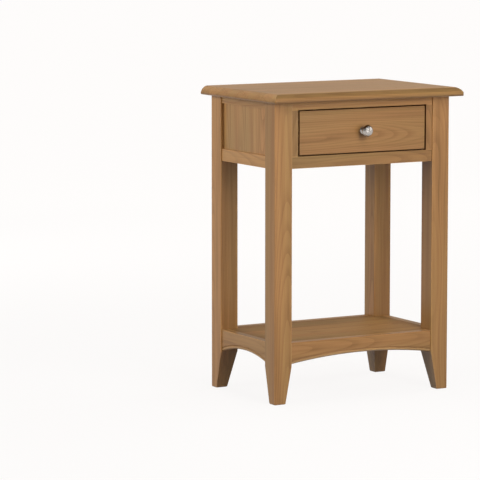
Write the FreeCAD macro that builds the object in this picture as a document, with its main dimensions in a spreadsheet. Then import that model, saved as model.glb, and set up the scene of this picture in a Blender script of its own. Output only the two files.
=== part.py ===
import FreeCAD
import Part
import math
import os
import re
import Sketcher
from FreeCAD import Placement, Rotation, Vector

# Small oak telephone table: moulded top, four tapered legs, one side-hung drawer and a low shelf
# inside arched aprons. Millimetres, +Z up, front towards -Y. The origin is on the floor under the
# middle of the tabletop.

SIZES = (
    ("table_height", 750, "floor to the tabletop's upper face"),
    ("top_width", 536, "tabletop, left to right"),
    ("top_depth", 365, "tabletop, front to back"),
    ("top_thick", 21.5, "tabletop thickness"),
    ("side_overhang", 20.5, "tabletop beyond the legs, left and right"),
    ("front_overhang", 36, "tabletop beyond the legs, front"),
    ("back_overhang", 17, "tabletop beyond the legs, back"),
    ("edge_inset", 17, "moulded edge, from the upper arris to the outermost line"),
    ("nosing_radius", 4, "small round under the moulded edge"),
    ("nosing_angle", 12, "degrees above level where the nosing meets the large curve"),
    ("corner_round", 5, "tabletop corners, seen from above"),
    ("leg_size", 48, "square section of the legs"),
    ("leg_round", 2, "eased long arrises of the legs"),
    ("foot_width", 30, "foot at the floor, left to right"),
    ("foot_depth", 25, "foot at the floor, front to back"),
    ("foot_chamfer", 1.5, "eased arris under the foot"),
    ("setback", 3, "faces of rails and aprons behind the faces of the legs"),
    ("board_thick", 20, "rails, stiles and aprons"),
    ("tenon_length", 20, "tenons in the legs"),
    ("tenon_thick", 8, "tenons in the legs"),
    ("tenon_inset", 6, "tenon behind the face of its board"),
    ("tenon_shoulder", 4, "shoulder above and below a tenon"),
    ("panel_shoulder", 6.5, "shoulder of a tenon beside a panel groove"),
    ("joint_gap", 0.1, "glue gap round tenons, tongues and dovetails"),
    ("top_rail_height", 20, "front rail over the drawer"),
    ("opening_height", 111, "drawer opening between the front rails"),
    ("bottom_rail_height", 29, "front rail under the drawer"),
    ("side_top_height", 18, "side and back rails under the tabletop"),
    ("side_bottom_height", 29.5, "side and back rails under the panels"),
    ("stile_width", 18, "stiles beside the drawer"),
    ("panel_thick", 8, "side and back panels"),
    ("panel_recess", 8, "panel faces behind the faces of the legs"),
    ("panel_tongue", 6, "panel edges inside their grooves"),
    ("shelf_top", 148.5, "floor to the shelf's upper face"),
    ("shelf_thick", 18, "shelf thickness"),
    ("shelf_tongue", 6, "shelf edge inside the aprons' grooves"),
    ("shelf_tongue_thick", 7, "thickness of that edge"),
    ("shelf_tongue_drop", 6, "shelf's upper face to the top of that edge"),
    ("apron_end_height", 95.5, "floor to the aprons' lower edge beside the legs"),
    ("front_arch_rise", 15, "rise of the front and back aprons' arches"),
    ("side_arch_rise", 17, "rise of the side aprons' arches"),
    ("bead_height", 9, "bead along the lower edge of the aprons"),
    ("bead_step", 1.5, "step from an apron's face in to the top of its bead"),
    ("bead_under", 2, "foot of the bead behind its top"),
    ("bead_round", 5.5, "round of the bead"),
    ("drawer_side_gap", 3.5, "drawer front to each stile"),
    ("drawer_end_gap", 2.5, "drawer front to the rail above and below"),
    ("front_thick", 20, "drawer front"),
    ("front_round", 1, "eased arrises of the drawer front"),
    ("drawer_back_gap", 11, "back end of the drawer to the back rail"),
    ("side_thick", 12, "drawer sides"),
    ("socket_lap", 5, "wood left in front of the dovetails"),
    ("tail_count", 4, "dovetails at each front corner"),
    ("tail_width", 15, "each dovetail at its root"),
    ("tail_slope", 7, "run of a dovetail's flank for each unit of spread"),
    ("back_thick", 12, "drawer back"),
    ("back_inset", 10, "drawer sides behind the drawer back"),
    ("back_drop", 6, "drawer back below the top of the sides"),
    ("housing_depth", 4, "housings of the drawer back in the sides"),
    ("bottom_thick", 4, "drawer bottom"),
    ("bottom_lift", 12, "drawer bottom above the lower edge of the sides"),
    ("bottom_groove", 5, "depth of the grooves that hold the drawer bottom"),
    ("groove_drop", 42, "top of a drawer side to the top of its runner groove"),
    ("groove_height", 16, "runner groove in the drawer sides"),
    ("groove_depth", 6, "runner groove in the drawer sides"),
    ("runner_seat", 0.3, "running gap of the groove's roof over the runner"),
    ("runner_slack", 0.7, "gap under the runner in the groove"),
    ("runner_side_gap", 0.6, "runner to the floor of the groove"),
    ("runner_front_gap", 2, "runner behind the stile"),
    ("stop_gap", 0.5, "closed end of the groove to the runner, drawer shut"),
    ("runner_end_gap", 1, "runner to the back rail"),
    ("batten_size", 20, "square battens that hold the tabletop"),
    ("screw_radius", 1.8, "wood screws' shanks"),
    ("screw_head_radius", 3.6, "wood screws' heads"),
    ("screw_head_height", 2.4, "wood screws' heads"),
    ("screw_length", 28, "wood screws under their heads"),
    ("screw_bite", 14, "screw thread inside the leg"),
    ("screw_gap", 0.1, "gap round screws in their holes"),
    ("screw_inset", 14, "runner screws from the inner side of the leg they go into"),
    ("knob_radius", 14.75, "knob's head"),
    ("knob_length", 29, "knob, drawer face to its crown"),
    ("knob_neck_radius", 5, "knob's neck"),
    ("knob_foot_radius", 9, "knob's foot on the drawer front"),
    ("knob_foot_height", 2.5, "knob's foot"),
    ("knob_rim", 3, "edge of the knob's head"),
    ("knob_bevel", 2.5, "height of the sloping band round the knob's face"),
    ("knob_face_radius", 11.5, "flat face of the knob inside that band"),
    ("knob_flare", 12.5, "length of the flare from neck to head"),
    ("knob_waist_radius", 8, "knob's flare at its middle, where it opens out"),
    ("bolt_radius", 2, "knob bolt"),
    ("bolt_head_radius", 4.2, "knob bolt's head"),
    ("bolt_head_height", 2.6, "knob bolt's head"),
    ("bolt_bite", 12, "knob bolt inside the knob"),
)

# Derived places, as expressions of the sizes above.
FRAME_TOP = "(table_height - top_thick)"
LEGS_WIDTH = "(top_width - 2 * side_overhang)"
LEGS_DEPTH = "(top_depth - front_overhang - back_overhang)"
LEGS_MIDDLE = "((front_overhang - back_overhang) / 2)"
LEGS_FRONT = "(front_overhang - top_depth / 2)"
LEGS_BACK = "(top_depth / 2 - back_overhang)"
FRONT_SPAN = f"({LEGS_WIDTH} - 2 * leg_size)"
SIDE_SPAN = f"({LEGS_DEPTH} - 2 * leg_size)"
OPENING_TOP = f"({FRAME_TOP} - top_rail_height)"
OPENING_BOTTOM = f"({OPENING_TOP} - opening_height)"
CASE_BOTTOM = f"({OPENING_BOTTOM} - bottom_rail_height)"
PANEL_BOTTOM = f"({CASE_BOTTOM} + side_bottom_height)"
PANEL_TOP = f"({FRAME_TOP} - side_top_height)"
APRON_END = "(shelf_top - apron_end_height)"
TENON_START = "(setback + tenon_inset)"

DRAWER_WIDTH = f"({FRONT_SPAN} - 2 * stile_width - 2 * drawer_side_gap)"
DRAWER_HEIGHT = "(opening_height - 2 * drawer_end_gap)"
DRAWER_FACE = f"({LEGS_FRONT} + setback)"
DRAWER_LENGTH = f"({LEGS_DEPTH} - 2 * setback - board_thick - drawer_back_gap)"
DRAWER_BOTTOM = f"({OPENING_BOTTOM} + drawer_end_gap)"
TAIL_PITCH = f"({DRAWER_HEIGHT} / tail_count)"
TAIL_LENGTH = "(front_thick - socket_lap)"
INNER_WIDTH = f"({DRAWER_WIDTH} - 2 * side_thick)"
BACK_FRONT = f"({DRAWER_LENGTH} - back_inset - back_thick)"

RUNNER_HEIGHT = "(groove_height - runner_seat - runner_slack)"
RUNNER_WIDTH = f"({FRONT_SPAN} / 2 - {DRAWER_WIDTH} / 2 + groove_depth - runner_side_gap)"
RUNNER_FRONT = f"({DRAWER_FACE} + board_thick + runner_front_gap)"
RUNNER_BACK = f"({LEGS_BACK} - setback - board_thick - runner_end_gap)"
GROOVE_TOP = f"({DRAWER_HEIGHT} - groove_drop)"
GROOVE_MIDDLE = f"({GROOVE_TOP} - groove_height / 2)"
GROOVE_END = f"({RUNNER_FRONT} - {DRAWER_FACE} - stop_gap)"
RUNNER_MIDDLE = f"({DRAWER_BOTTOM} + {GROOVE_TOP} - runner_seat - {RUNNER_HEIGHT} / 2)"
RUNNER_SCREWS = (f"({LEGS_FRONT} + leg_size - screw_inset)", f"({LEGS_BACK} - leg_size + screw_inset)")
BATTEN_X = f"({LEGS_WIDTH} / 2 - setback - board_thick - batten_size / 2)"
KNOB_HEIGHT = f"({DRAWER_HEIGHT} / 2)"

CUT_MARGIN = 2
SIDES = {"front": 0, "right": 90, "back": 180, "left": -90}

doc = FreeCAD.newDocument("telephone_table")
sheet = doc.addObject("Spreadsheet::Sheet", "sizes")
for row, (alias, value, meaning) in enumerate(SIZES, start=1):
    sheet.set(f"A{row}", meaning)
    sheet.set(f"B{row}", str(value))
    sheet.setAlias(f"B{row}", alias)
doc.recompute()

SIZE_NAMES = re.compile(r"\b(" + "|".join(alias for alias, value, meaning in SIZES) + r")\b")
subparts = []


def bound(expression):
    """The expression with each size's name pointing at its cell."""
    return SIZE_NAMES.sub(r"sizes.\1", str(expression))


def number(expression):
    """The expression's value now."""
    result = sheet.evalExpression(bound(expression))
    return float(getattr(result, "Value", result))


def new_body(name):
    body = doc.addObject("PartDesign::Body", name)
    subparts.append(body)
    return body


def place(item, x="0", y="0", z="0", turn=0, axis=Vector(0, 0, 1)):
    """Put the item at a place given by expressions, turned about the axis by so many degrees."""
    item.Placement = Placement(Vector(0, 0, 0), Rotation(axis, turn))
    for letter, expression in zip("xyz", (x, y, z)):
        item.setExpression(f"Placement.Base.{letter}", bound(expression))


def new_sketch(body, plane_role, offset="0", name="sketch"):
    """A sketch on one of the body's origin planes, moved along the plane's normal by the offset."""
    sketch = body.newObject("Sketcher::SketchObject", name)
    plane = [feature for feature in body.Origin.OriginFeatures if feature.Role == plane_role][0]
    sketch.AttachmentSupport = [(plane, "")]
    sketch.MapMode = "FlatFace"
    sketch.setExpression("AttachmentOffset.Base.z", bound(offset))
    return sketch


def constrain(sketch, kind, elements, expression):
    index = sketch.addConstraint(Sketcher.Constraint(kind, *elements, number(expression)))
    sketch.setExpression(f"Constraints[{index}]", bound(expression))


def draw_outline(sketch, corners):
    """Draw a closed outline. A corner is (x, y), or (x, y, radius) where a round edge starts that
    bends to the left of its run for a positive radius and to the right for a negative one."""
    points = [Vector(number(corner[0]), number(corner[1]), 0) for corner in corners]
    edges = []
    ends = []
    for index, corner in enumerate(corners):
        start = points[index]
        finish = points[(index + 1) % len(points)]
        if len(corner) == 2:
            edges.append(Part.LineSegment(start, finish))
            ends.append((1, 2))
            continue
        radius = number(corner[2])
        chord = finish - start
        left = Vector(-chord.y, chord.x, 0).normalize()
        reach = math.sqrt(max(radius * radius - chord.Length ** 2 / 4, 0))
        centre = (start + finish) / 2 + left * math.copysign(reach, radius)
        first = math.atan2(start.y - centre.y, start.x - centre.x)
        last = math.atan2(finish.y - centre.y, finish.x - centre.x)
        circle = Part.Circle(centre, Vector(0, 0, 1), abs(radius))
        if radius > 0:
            edges.append(Part.ArcOfCircle(circle, first, last if last > first else last + 2 * math.pi))
            ends.append((1, 2))
        else:
            edges.append(Part.ArcOfCircle(circle, last, first if first > last else first + 2 * math.pi))
            ends.append((2, 1))
    base = sketch.GeometryCount
    sketch.addGeometry(edges, False)
    for index in range(len(edges)):
        following = (index + 1) % len(edges)
        sketch.addConstraint(Sketcher.Constraint(
            "Coincident", base + index, ends[index][1], base + following, ends[following][0]))
    for index, corner in enumerate(corners):
        corner_point = (-1, 1, base + index, ends[index][0])
        constrain(sketch, "DistanceX", corner_point, corner[0])
        constrain(sketch, "DistanceY", corner_point, corner[1])
    for index, corner in enumerate(corners):
        if len(corner) == 3:
            constrain(sketch, "Radius", (base + index,), f"abs({corner[2]})")


def draw_rectangle(sketch, left, right, bottom, top):
    draw_outline(sketch, ((left, bottom), (right, bottom), (right, top), (left, top)))


def draw_circle(sketch, x, y, radius):
    index = sketch.addGeometry(
        Part.Circle(Vector(number(x), number(y), 0), Vector(0, 0, 1), number(radius)), False)
    constrain(sketch, "DistanceX", (-1, 1, index, 3), x)
    constrain(sketch, "DistanceY", (-1, 1, index, 3), y)
    constrain(sketch, "Radius", (index,), radius)


def extrude(body, kind, sketch, length, flip=False, both_ways=False):
    """A PartDesign Pad or Pocket of the sketch. A Pocket has to take material away."""
    before = body.Shape.Volume if kind == "Pocket" else 0
    feature = body.newObject(f"PartDesign::{kind}", kind.lower())
    feature.Profile = sketch
    feature.setExpression("Length", bound(length))
    feature.SideType = "Symmetric" if both_ways else "One side"
    feature.Reversed = flip
    doc.recompute()
    if kind == "Pocket" and feature.Shape.Volume > before - 1e-6:
        raise ValueError(f"{body.Name}: {sketch.Name} cuts nothing")
    return feature


def pad(body, sketch, length, flip=False, both_ways=False):
    return extrude(body, "Pad", sketch, length, flip, both_ways)


def pocket(body, sketch, depth, flip=False, both_ways=False):
    return extrude(body, "Pocket", sketch, depth, flip, both_ways)


def dress_edges(body, kind, base, wanted, size_property, size):
    """A PartDesign Fillet or Chamfer on the base's edges that the wanted function picks."""
    names = [f"Edge{index}" for index, edge in enumerate(base.Shape.Edges, start=1) if wanted(edge)]
    feature = body.newObject(f"PartDesign::{kind}", kind.lower())
    feature.Base = (base, names)
    feature.setExpression(size_property, bound(size))
    doc.recompute()
    return feature


def runs_along(edge, axis):
    """Whether the edge is straight and runs along the axis."""
    if not isinstance(edge.Curve, Part.Line):
        return False
    return abs(abs(edge.Curve.Direction.dot(axis)) - 1) < 1e-6


def make_tabletop():
    """A board with an ovolo round its front and ends, square along the back."""
    body = new_body("tabletop")
    half_width = "top_width / 2"
    curve_x = "(nosing_radius * (1 - cos(nosing_angle * 1deg)))"
    curve_z = "(top_thick - nosing_radius * (1 + sin(nosing_angle * 1deg)))"
    run = f"(edge_inset - {curve_x})"
    along_normal = f"({run} * cos(nosing_angle * 1deg) - {curve_z} * sin(nosing_angle * 1deg))"
    curve_radius = f"(({run} ^ 2 + {curve_z} ^ 2) / (2 * {along_normal}))"
    section = new_sketch(body, "XZ_Plane", name="width_section")
    draw_outline(section, (
        (f"nosing_radius - {half_width}", "0"),
        (f"{half_width} - nosing_radius", "0", "nosing_radius"),
        (f"{half_width} - {curve_x}", f"top_thick - {curve_z}", curve_radius),
        (f"{half_width} - edge_inset", "top_thick"),
        (f"edge_inset - {half_width}", "top_thick", curve_radius),
        (f"{curve_x} - {half_width}", f"top_thick - {curve_z}", "nosing_radius")))
    pad(body, section, "top_depth", both_ways=True)
    front = "-top_depth / 2"
    margin = CUT_MARGIN
    moulding = new_sketch(body, "YZ_Plane", name="front_moulding")
    draw_outline(moulding, (
        (f"{front} + edge_inset", "top_thick", curve_radius),
        (f"{front} + {curve_x}", f"top_thick - {curve_z}", "nosing_radius"),
        (f"{front} + nosing_radius", "0"),
        (f"{front} + nosing_radius", f"-{margin}"),
        (f"{front} - {margin}", f"-{margin}"),
        (f"{front} - {margin}", f"top_thick + {margin}"),
        (f"{front} + edge_inset", f"top_thick + {margin}")))
    pocket(body, moulding, f"top_width + {margin}", both_ways=True)
    for side in (-1, 1):
        corner = new_sketch(body, "XY_Plane", name="corner")
        outer_x = f"{side} * {half_width}"
        outline = (
            (f"{side} * ({half_width} - corner_round)", front, f"{side} * corner_round"),
            (outer_x, f"{front} + corner_round"),
            (f"{side} * ({half_width} + {margin})", f"{front} + corner_round"),
            (f"{side} * ({half_width} + {margin})", f"{front} - {margin}"),
            (f"{side} * ({half_width} - corner_round)", f"{front} - {margin}"))
        draw_outline(corner, outline)
        pocket(body, corner, f"top_thick + {margin}", flip=True)
    place(body, z=FRAME_TOP)


def mortise(body, face, sign, other_sign, boards):
    """Cut the mortises of the boards that run along one axis into a leg's inner face. A board is
    (foot of the tenon, top of the tenon)."""
    plane = "YZ_Plane" if face == "x" else "XZ_Plane"
    normal = sign if face == "x" else -sign
    sketch = new_sketch(body, plane, f"{normal} * leg_size", name=f"mortises_{face}")
    across = sorted((f"{other_sign} * ({TENON_START} - joint_gap)",
                     f"{other_sign} * ({TENON_START} + tenon_thick + joint_gap)"), key=number)
    for bottom, top in boards:
        draw_rectangle(sketch, *across, f"{bottom} - joint_gap", f"{top} + joint_gap")
    pocket(body, sketch, "tenon_length + joint_gap", flip=normal < 0)


def groove_leg(body, face, sign, other_sign):
    """Cut the groove for a panel's edge into a leg's inner face."""
    plane = "YZ_Plane" if face == "x" else "XZ_Plane"
    normal = sign if face == "x" else -sign
    sketch = new_sketch(body, plane, f"{normal} * leg_size", name=f"panel_groove_{face}")
    across = sorted((f"{other_sign} * (panel_recess - joint_gap)",
                     f"{other_sign} * (panel_recess + panel_thick + joint_gap)"), key=number)
    draw_rectangle(sketch, *across, f"{PANEL_BOTTOM} - panel_tongue", f"{PANEL_TOP} + panel_tongue")
    pocket(body, sketch, "panel_tongue + joint_gap", flip=normal < 0)


def make_leg(name, inward_x, inward_y):
    """A square leg whose two inner faces taper to the foot. Its outer arris is on its own Z axis,
    and the leg lies towards inward_x and inward_y, each 1 or -1."""
    body = new_body(name)
    is_front = inward_y > 0
    square = new_sketch(body, "XY_Plane", name="section")
    xs = sorted(("0", f"{inward_x} * leg_size"), key=number)
    ys = sorted(("0", f"{inward_y} * leg_size"), key=number)
    draw_rectangle(square, *xs, *ys)
    blank = pad(body, square, FRAME_TOP)
    dress_edges(body, "Fillet", blank, lambda edge: runs_along(edge, Vector(0, 0, 1)), "Radius", "leg_round")
    tapers = (("XZ_Plane", inward_x, "foot_width"), ("YZ_Plane", inward_y, "foot_depth"))
    for plane, inward, foot in tapers:
        taper = new_sketch(body, plane, name="taper")
        outline = (
            (f"{inward} * {foot}", "0"),
            (f"{inward} * leg_size", "apron_end_height"),
            (f"{inward} * (leg_size + {CUT_MARGIN})", "apron_end_height"),
            (f"{inward} * (leg_size + {CUT_MARGIN})", f"-{CUT_MARGIN}"),
            (f"{inward} * {foot}", f"-{CUT_MARGIN}"))
        draw_outline(taper, outline)
        pocket(body, taper, f"2 * leg_size + {CUT_MARGIN}", both_ways=True)
    shoulder = "tenon_shoulder"
    apron = (f"apron_end_height + {shoulder}", f"shelf_top - {shoulder}")
    side_boards = (
        (f"{PANEL_TOP} + panel_shoulder", f"{FRAME_TOP} - {shoulder}"),
        (f"{CASE_BOTTOM} + {shoulder}", f"{PANEL_BOTTOM} - panel_shoulder"),
        apron)
    front_boards = (
        (f"{OPENING_TOP} + {shoulder}", f"{FRAME_TOP} - {shoulder}"),
        (f"{CASE_BOTTOM} + {shoulder}", f"{OPENING_BOTTOM} - {shoulder}"),
        apron)
    mortise(body, "x", inward_x, inward_y, front_boards if is_front else side_boards)
    mortise(body, "y", inward_y, inward_x, side_boards)
    groove_leg(body, "y", inward_y, inward_x)
    if not is_front:
        groove_leg(body, "x", inward_x, inward_y)
    pilot = new_sketch(body, "YZ_Plane", f"{inward_x} * leg_size", name="runner_pilot")
    leg_y = LEGS_FRONT if is_front else LEGS_BACK
    draw_circle(pilot, f"{RUNNER_SCREWS[0 if is_front else 1]} - {leg_y}", RUNNER_MIDDLE,
                "screw_radius + screw_gap")
    tip = pocket(body, pilot, "screw_bite + screw_gap", flip=inward_x < 0)
    dress_edges(body, "Chamfer", tip, lambda edge: max(edge.Vertexes[0].Z, edge.Vertexes[-1].Z) < 1e-6,
                "Size", "foot_chamfer")
    place(body, f"{-inward_x} * {LEGS_WIDTH} / 2", leg_y)


def place_board(body, side, height):
    """Stand a board made facing -Y on its side of the table, its lower edge at the height."""
    x, y = {
        "front": ("0", f"{LEGS_FRONT} + setback"),
        "back": ("0", f"{LEGS_BACK} - setback"),
        "left": (f"setback - {LEGS_WIDTH} / 2", LEGS_MIDDLE),
        "right": (f"{LEGS_WIDTH} / 2 - setback", LEGS_MIDDLE)}[side]
    place(body, x, y, height, SIDES[side])


def span_of(side):
    return FRONT_SPAN if side in ("front", "back") else SIDE_SPAN


def make_rail(name, side, height, rail_height, groove_edge=None):
    """A rail between two legs, with a tenon at each end and, where it holds a panel, a groove."""
    body = new_body(name)
    half = f"{span_of(side)} / 2"
    lower_shoulder = "panel_shoulder" if groove_edge == "lower" else "tenon_shoulder"
    upper_shoulder = "panel_shoulder" if groove_edge == "upper" else "tenon_shoulder"
    face = new_sketch(body, "XZ_Plane", name="face")
    draw_rectangle(face, f"-{half}", half, "0", rail_height)
    pad(body, face, "board_thick", flip=True)
    if groove_edge:
        groove = new_sketch(body, "YZ_Plane", name="panel_groove")
        start = "panel_recess - setback - joint_gap"
        finish = "panel_recess - setback + panel_thick + joint_gap"
        reach = "(panel_tongue + joint_gap)"
        if groove_edge == "upper":
            draw_rectangle(groove, start, finish, f"{rail_height} - {reach}", f"{rail_height} + {CUT_MARGIN}")
        else:
            draw_rectangle(groove, start, finish, f"-{CUT_MARGIN}", reach)
        pocket(body, groove, span_of(side), both_ways=True)
    tenon = new_sketch(body, "XZ_Plane", "-tenon_inset", name="tenons")
    for near, far in ((f"-{half} - tenon_length", f"-{half}"), (half, f"{half} + tenon_length")):
        draw_rectangle(tenon, near, far, lower_shoulder, f"{rail_height} - {upper_shoulder}")
    pad(body, tenon, "tenon_thick", flip=True)
    place_board(body, side, height)


def make_stile(name, sign):
    body = new_body(name)
    face = new_sketch(body, "XZ_Plane", name="face")
    edges = sorted((f"{sign} * {FRONT_SPAN} / 2", f"{sign} * ({FRONT_SPAN} / 2 - stile_width)"), key=number)
    draw_rectangle(face, *edges, "0", "opening_height")
    pad(body, face, "board_thick", flip=True)
    place_board(body, "front", OPENING_BOTTOM)


def make_panel(name, side):
    """A panel whose edges lie in grooves of the rails and legs round it."""
    body = new_body(name)
    half = f"({span_of(side)} / 2 + panel_tongue)"
    face = new_sketch(body, "XZ_Plane", "setback - panel_recess", name="face")
    draw_rectangle(face, f"-{half}", half, "-panel_tongue", f"{PANEL_TOP} - {PANEL_BOTTOM} + panel_tongue")
    pad(body, face, "panel_thick", flip=True)
    place_board(body, side, PANEL_BOTTOM)


def make_apron(name, side, rise):
    """A board with an arched lower edge. The arch is an arc of a circle through the board's two
    lower corners, and a bead below a small step follows it along the face."""
    body = new_body(name)
    half = f"({span_of(side)} / 2)"
    radius = f"(({half} ^ 2 + {rise} ^ 2) / (2 * {rise}))"
    face = new_sketch(body, "XZ_Plane", name="arched_face")
    draw_outline(face, (
        (f"-{half}", "0", f"-{radius}"), (half, "0"), (half, APRON_END), (f"-{half}", APRON_END)))
    pad(body, face, "board_thick", flip=True)
    bead = new_sketch(body, "YZ_Plane", name="bead")
    bead.setExpression("AttachmentOffset.Base.y", bound(f"{rise} - {radius}"))
    draw_outline(bead, (
        ("bead_step", f"{radius} + bead_height", "bead_round"),
        ("bead_step + bead_under", radius),
        ("bead_step + bead_under", f"{radius} - {CUT_MARGIN}"),
        (f"-{CUT_MARGIN}", f"{radius} - {CUT_MARGIN}"),
        (f"-{CUT_MARGIN}", f"{radius} + bead_height")))
    before = body.Shape.Volume
    groove = body.newObject("PartDesign::Groove", "bead_cut")
    groove.Profile = bead
    groove.ReferenceAxis = (bead, ["H_Axis"])
    groove.Angle = 360
    doc.recompute()
    if groove.Shape.Volume > before - 1e-6:
        raise ValueError(f"{name}: the bead cuts nothing")
    shelf_groove = new_sketch(body, "XZ_Plane", "-board_thick", name="shelf_groove")
    draw_rectangle(shelf_groove, f"-{half}", half,
                   f"{APRON_END} - shelf_tongue_drop - shelf_tongue_thick - joint_gap",
                   f"{APRON_END} - shelf_tongue_drop + joint_gap")
    pocket(body, shelf_groove, "shelf_tongue + joint_gap", flip=True)
    tenon = new_sketch(body, "XZ_Plane", "-tenon_inset", name="tenons")
    for near, far in ((f"-{half} - tenon_length", f"-{half}"), (half, f"{half} + tenon_length")):
        draw_rectangle(tenon, near, far, "tenon_shoulder", f"{APRON_END} - tenon_shoulder")
    pad(body, tenon, "tenon_thick", flip=True)
    place_board(body, side, "apron_end_height")


def draw_notched_board(sketch, reach):
    """The shelf's plan: a rectangle between the aprons, with a notch for each leg."""
    outer_x = f"({LEGS_WIDTH} / 2 - setback - board_thick + {reach})"
    outer_y = f"({LEGS_DEPTH} / 2 - setback - board_thick + {reach})"
    notch_x = f"({FRONT_SPAN} / 2 - joint_gap)"
    notch_y = f"({SIDE_SPAN} / 2 - joint_gap)"
    draw_outline(sketch, (
        (f"-{notch_x}", f"-{outer_y}"), (notch_x, f"-{outer_y}"), (notch_x, f"-{notch_y}"),
        (outer_x, f"-{notch_y}"), (outer_x, notch_y), (notch_x, notch_y),
        (notch_x, outer_y), (f"-{notch_x}", outer_y), (f"-{notch_x}", notch_y),
        (f"-{outer_x}", notch_y), (f"-{outer_x}", f"-{notch_y}"), (f"-{notch_x}", f"-{notch_y}")))


def make_shelf():
    body = new_body("shelf")
    board = new_sketch(body, "XY_Plane", name="board")
    draw_notched_board(board, "0")
    pad(body, board, "shelf_thick", flip=True)
    tongue = new_sketch(body, "XY_Plane", "-shelf_tongue_drop", name="tongue")
    draw_notched_board(tongue, "shelf_tongue")
    pad(body, tongue, "shelf_tongue_thick", flip=True)
    place(body, y=LEGS_MIDDLE, z="shelf_top")


def make_runner(name, sign):
    """A strip screwed to two legs, with a round front end, on which a drawer side hangs."""
    body = new_body(name)
    outer = f"{sign} * {FRONT_SPAN} / 2"
    radius = f"({RUNNER_HEIGHT} / 2)"
    strip = new_sketch(body, "YZ_Plane", outer, name="strip")
    draw_rectangle(strip, f"{RUNNER_FRONT} + {radius}", RUNNER_BACK, f"-{radius}", radius)
    pad(body, strip, RUNNER_WIDTH, flip=sign > 0)
    nose = new_sketch(body, "YZ_Plane", outer, name="round_end")
    draw_circle(nose, f"{RUNNER_FRONT} + {radius}", "0", radius)
    pad(body, nose, RUNNER_WIDTH, flip=sign > 0)
    inner = f"{sign} * ({FRONT_SPAN} / 2 - {RUNNER_WIDTH})"
    holes = new_sketch(body, "YZ_Plane", inner, name="screw_holes")
    recesses = new_sketch(body, "YZ_Plane", inner, name="head_recesses")
    for screw_y in RUNNER_SCREWS:
        draw_circle(holes, screw_y, "0", "screw_radius + screw_gap")
        draw_circle(recesses, screw_y, "0", "screw_head_radius + screw_gap")
    pocket(body, holes, RUNNER_WIDTH, flip=sign > 0)
    pocket(body, recesses, f"{RUNNER_WIDTH} - (screw_length - screw_bite)", flip=sign > 0)
    place(body, z=RUNNER_MIDDLE)


def make_batten(name, sign):
    """A batten glued under the tabletop and along the side's top rail."""
    body = new_body(name)
    plan = new_sketch(body, "XY_Plane", name="plan")
    edges = (f"{sign} * {BATTEN_X} - batten_size / 2", f"{sign} * {BATTEN_X} + batten_size / 2")
    ends = (f"{LEGS_MIDDLE} - {SIDE_SPAN} / 2", f"{LEGS_MIDDLE} + {SIDE_SPAN} / 2")
    draw_rectangle(plan, *edges, *ends)
    pad(body, plan, "batten_size", flip=True)
    place(body, z=FRAME_TOP)


def make_runner_screws():
    """Pan-head screws through the runners into the legs, as one group."""
    name = "runner_screws"
    seat_x = f"({FRONT_SPAN} / 2 - (screw_length - screw_bite))"
    solids = []
    places = [(sign, screw_y) for sign in (-1, 1) for screw_y in RUNNER_SCREWS]
    for index, (sign, screw_y) in enumerate(places, start=1):
        shank = doc.addObject("Part::Cylinder", f"{name}_shank_{index}")
        shank.setExpression("Radius", bound("screw_radius"))
        shank.setExpression("Height", bound("screw_length"))
        head = doc.addObject("Part::Cylinder", f"{name}_head_{index}")
        head.setExpression("Radius", bound("screw_head_radius"))
        head.setExpression("Height", bound("screw_head_height"))
        head.setExpression("Placement.Base.z", bound("-screw_head_height"))
        screw = doc.addObject("Part::Fuse", f"{name}_{index}")
        screw.Base = head
        screw.Tool = shank
        place(screw, f"{sign} * {seat_x}", screw_y, RUNNER_MIDDLE, 90 * sign, Vector(0, 1, 0))
        solids.append(screw)
    group = doc.addObject("Part::Compound", name)
    group.Links = solids
    subparts.append(group)


def place_drawer_piece(body):
    """Drawer pieces are drawn from the lower middle of the drawer's face."""
    place(body, y=DRAWER_FACE, z=DRAWER_BOTTOM)


def draw_tail(sketch, spare):
    """One dovetail, seen from the drawer's side, with so much to spare on each flank and at its tip."""
    middle = f"({TAIL_PITCH} / 2)"
    root = f"(tail_width / 2 + {spare})"
    tip = f"({root} + {TAIL_LENGTH} / tail_slope)"
    draw_outline(sketch, (
        ("front_thick", f"{middle} - {root}"), ("front_thick", f"{middle} + {root}"),
        (f"socket_lap - {spare}", f"{middle} + {tip}"), (f"socket_lap - {spare}", f"{middle} - {tip}")))


def repeat_tails(body, feature, sketch):
    """Repeat a tail or socket up the corner."""
    rows = body.newObject("PartDesign::LinearPattern", "row_of_tails")
    rows.Originals = [feature]
    rows.Direction = (sketch, ["V_Axis"])
    rows.setExpression("Length", bound(f"{TAIL_PITCH} * (tail_count - 1)"))
    rows.setExpression("Occurrences", bound("tail_count"))
    body.Tip = rows
    doc.recompute()


def make_drawer_front():
    body = new_body("drawer_front")
    half = f"({DRAWER_WIDTH} / 2)"
    face = new_sketch(body, "XZ_Plane", name="face")
    draw_rectangle(face, f"-{half}", half, "0", DRAWER_HEIGHT)
    board = pad(body, face, "front_thick", flip=True)
    dress_edges(body, "Fillet", board,
                lambda edge: abs(edge.Vertexes[0].Y) < 1e-6 and abs(edge.Vertexes[-1].Y) < 1e-6,
                "Radius", "front_round")
    for sign in (-1, 1):
        socket = new_sketch(body, "YZ_Plane", f"{sign} * {half}", name="socket")
        draw_tail(socket, "joint_gap")
        cut = pocket(body, socket, "side_thick + joint_gap", flip=sign < 0)
        repeat_tails(body, cut, socket)
    groove = new_sketch(body, "XZ_Plane", "-front_thick", name="bottom_groove")
    edge = f"({INNER_WIDTH} / 2 + bottom_groove)"
    draw_rectangle(groove, f"-{edge}", edge, "bottom_lift - joint_gap", "bottom_lift + bottom_thick + joint_gap")
    pocket(body, groove, "bottom_groove", flip=True)
    bolt_hole = new_sketch(body, "XZ_Plane", name="bolt_hole")
    draw_circle(bolt_hole, "0", KNOB_HEIGHT, "bolt_radius + screw_gap")
    pocket(body, bolt_hole, "front_thick")
    place_drawer_piece(body)


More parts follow.
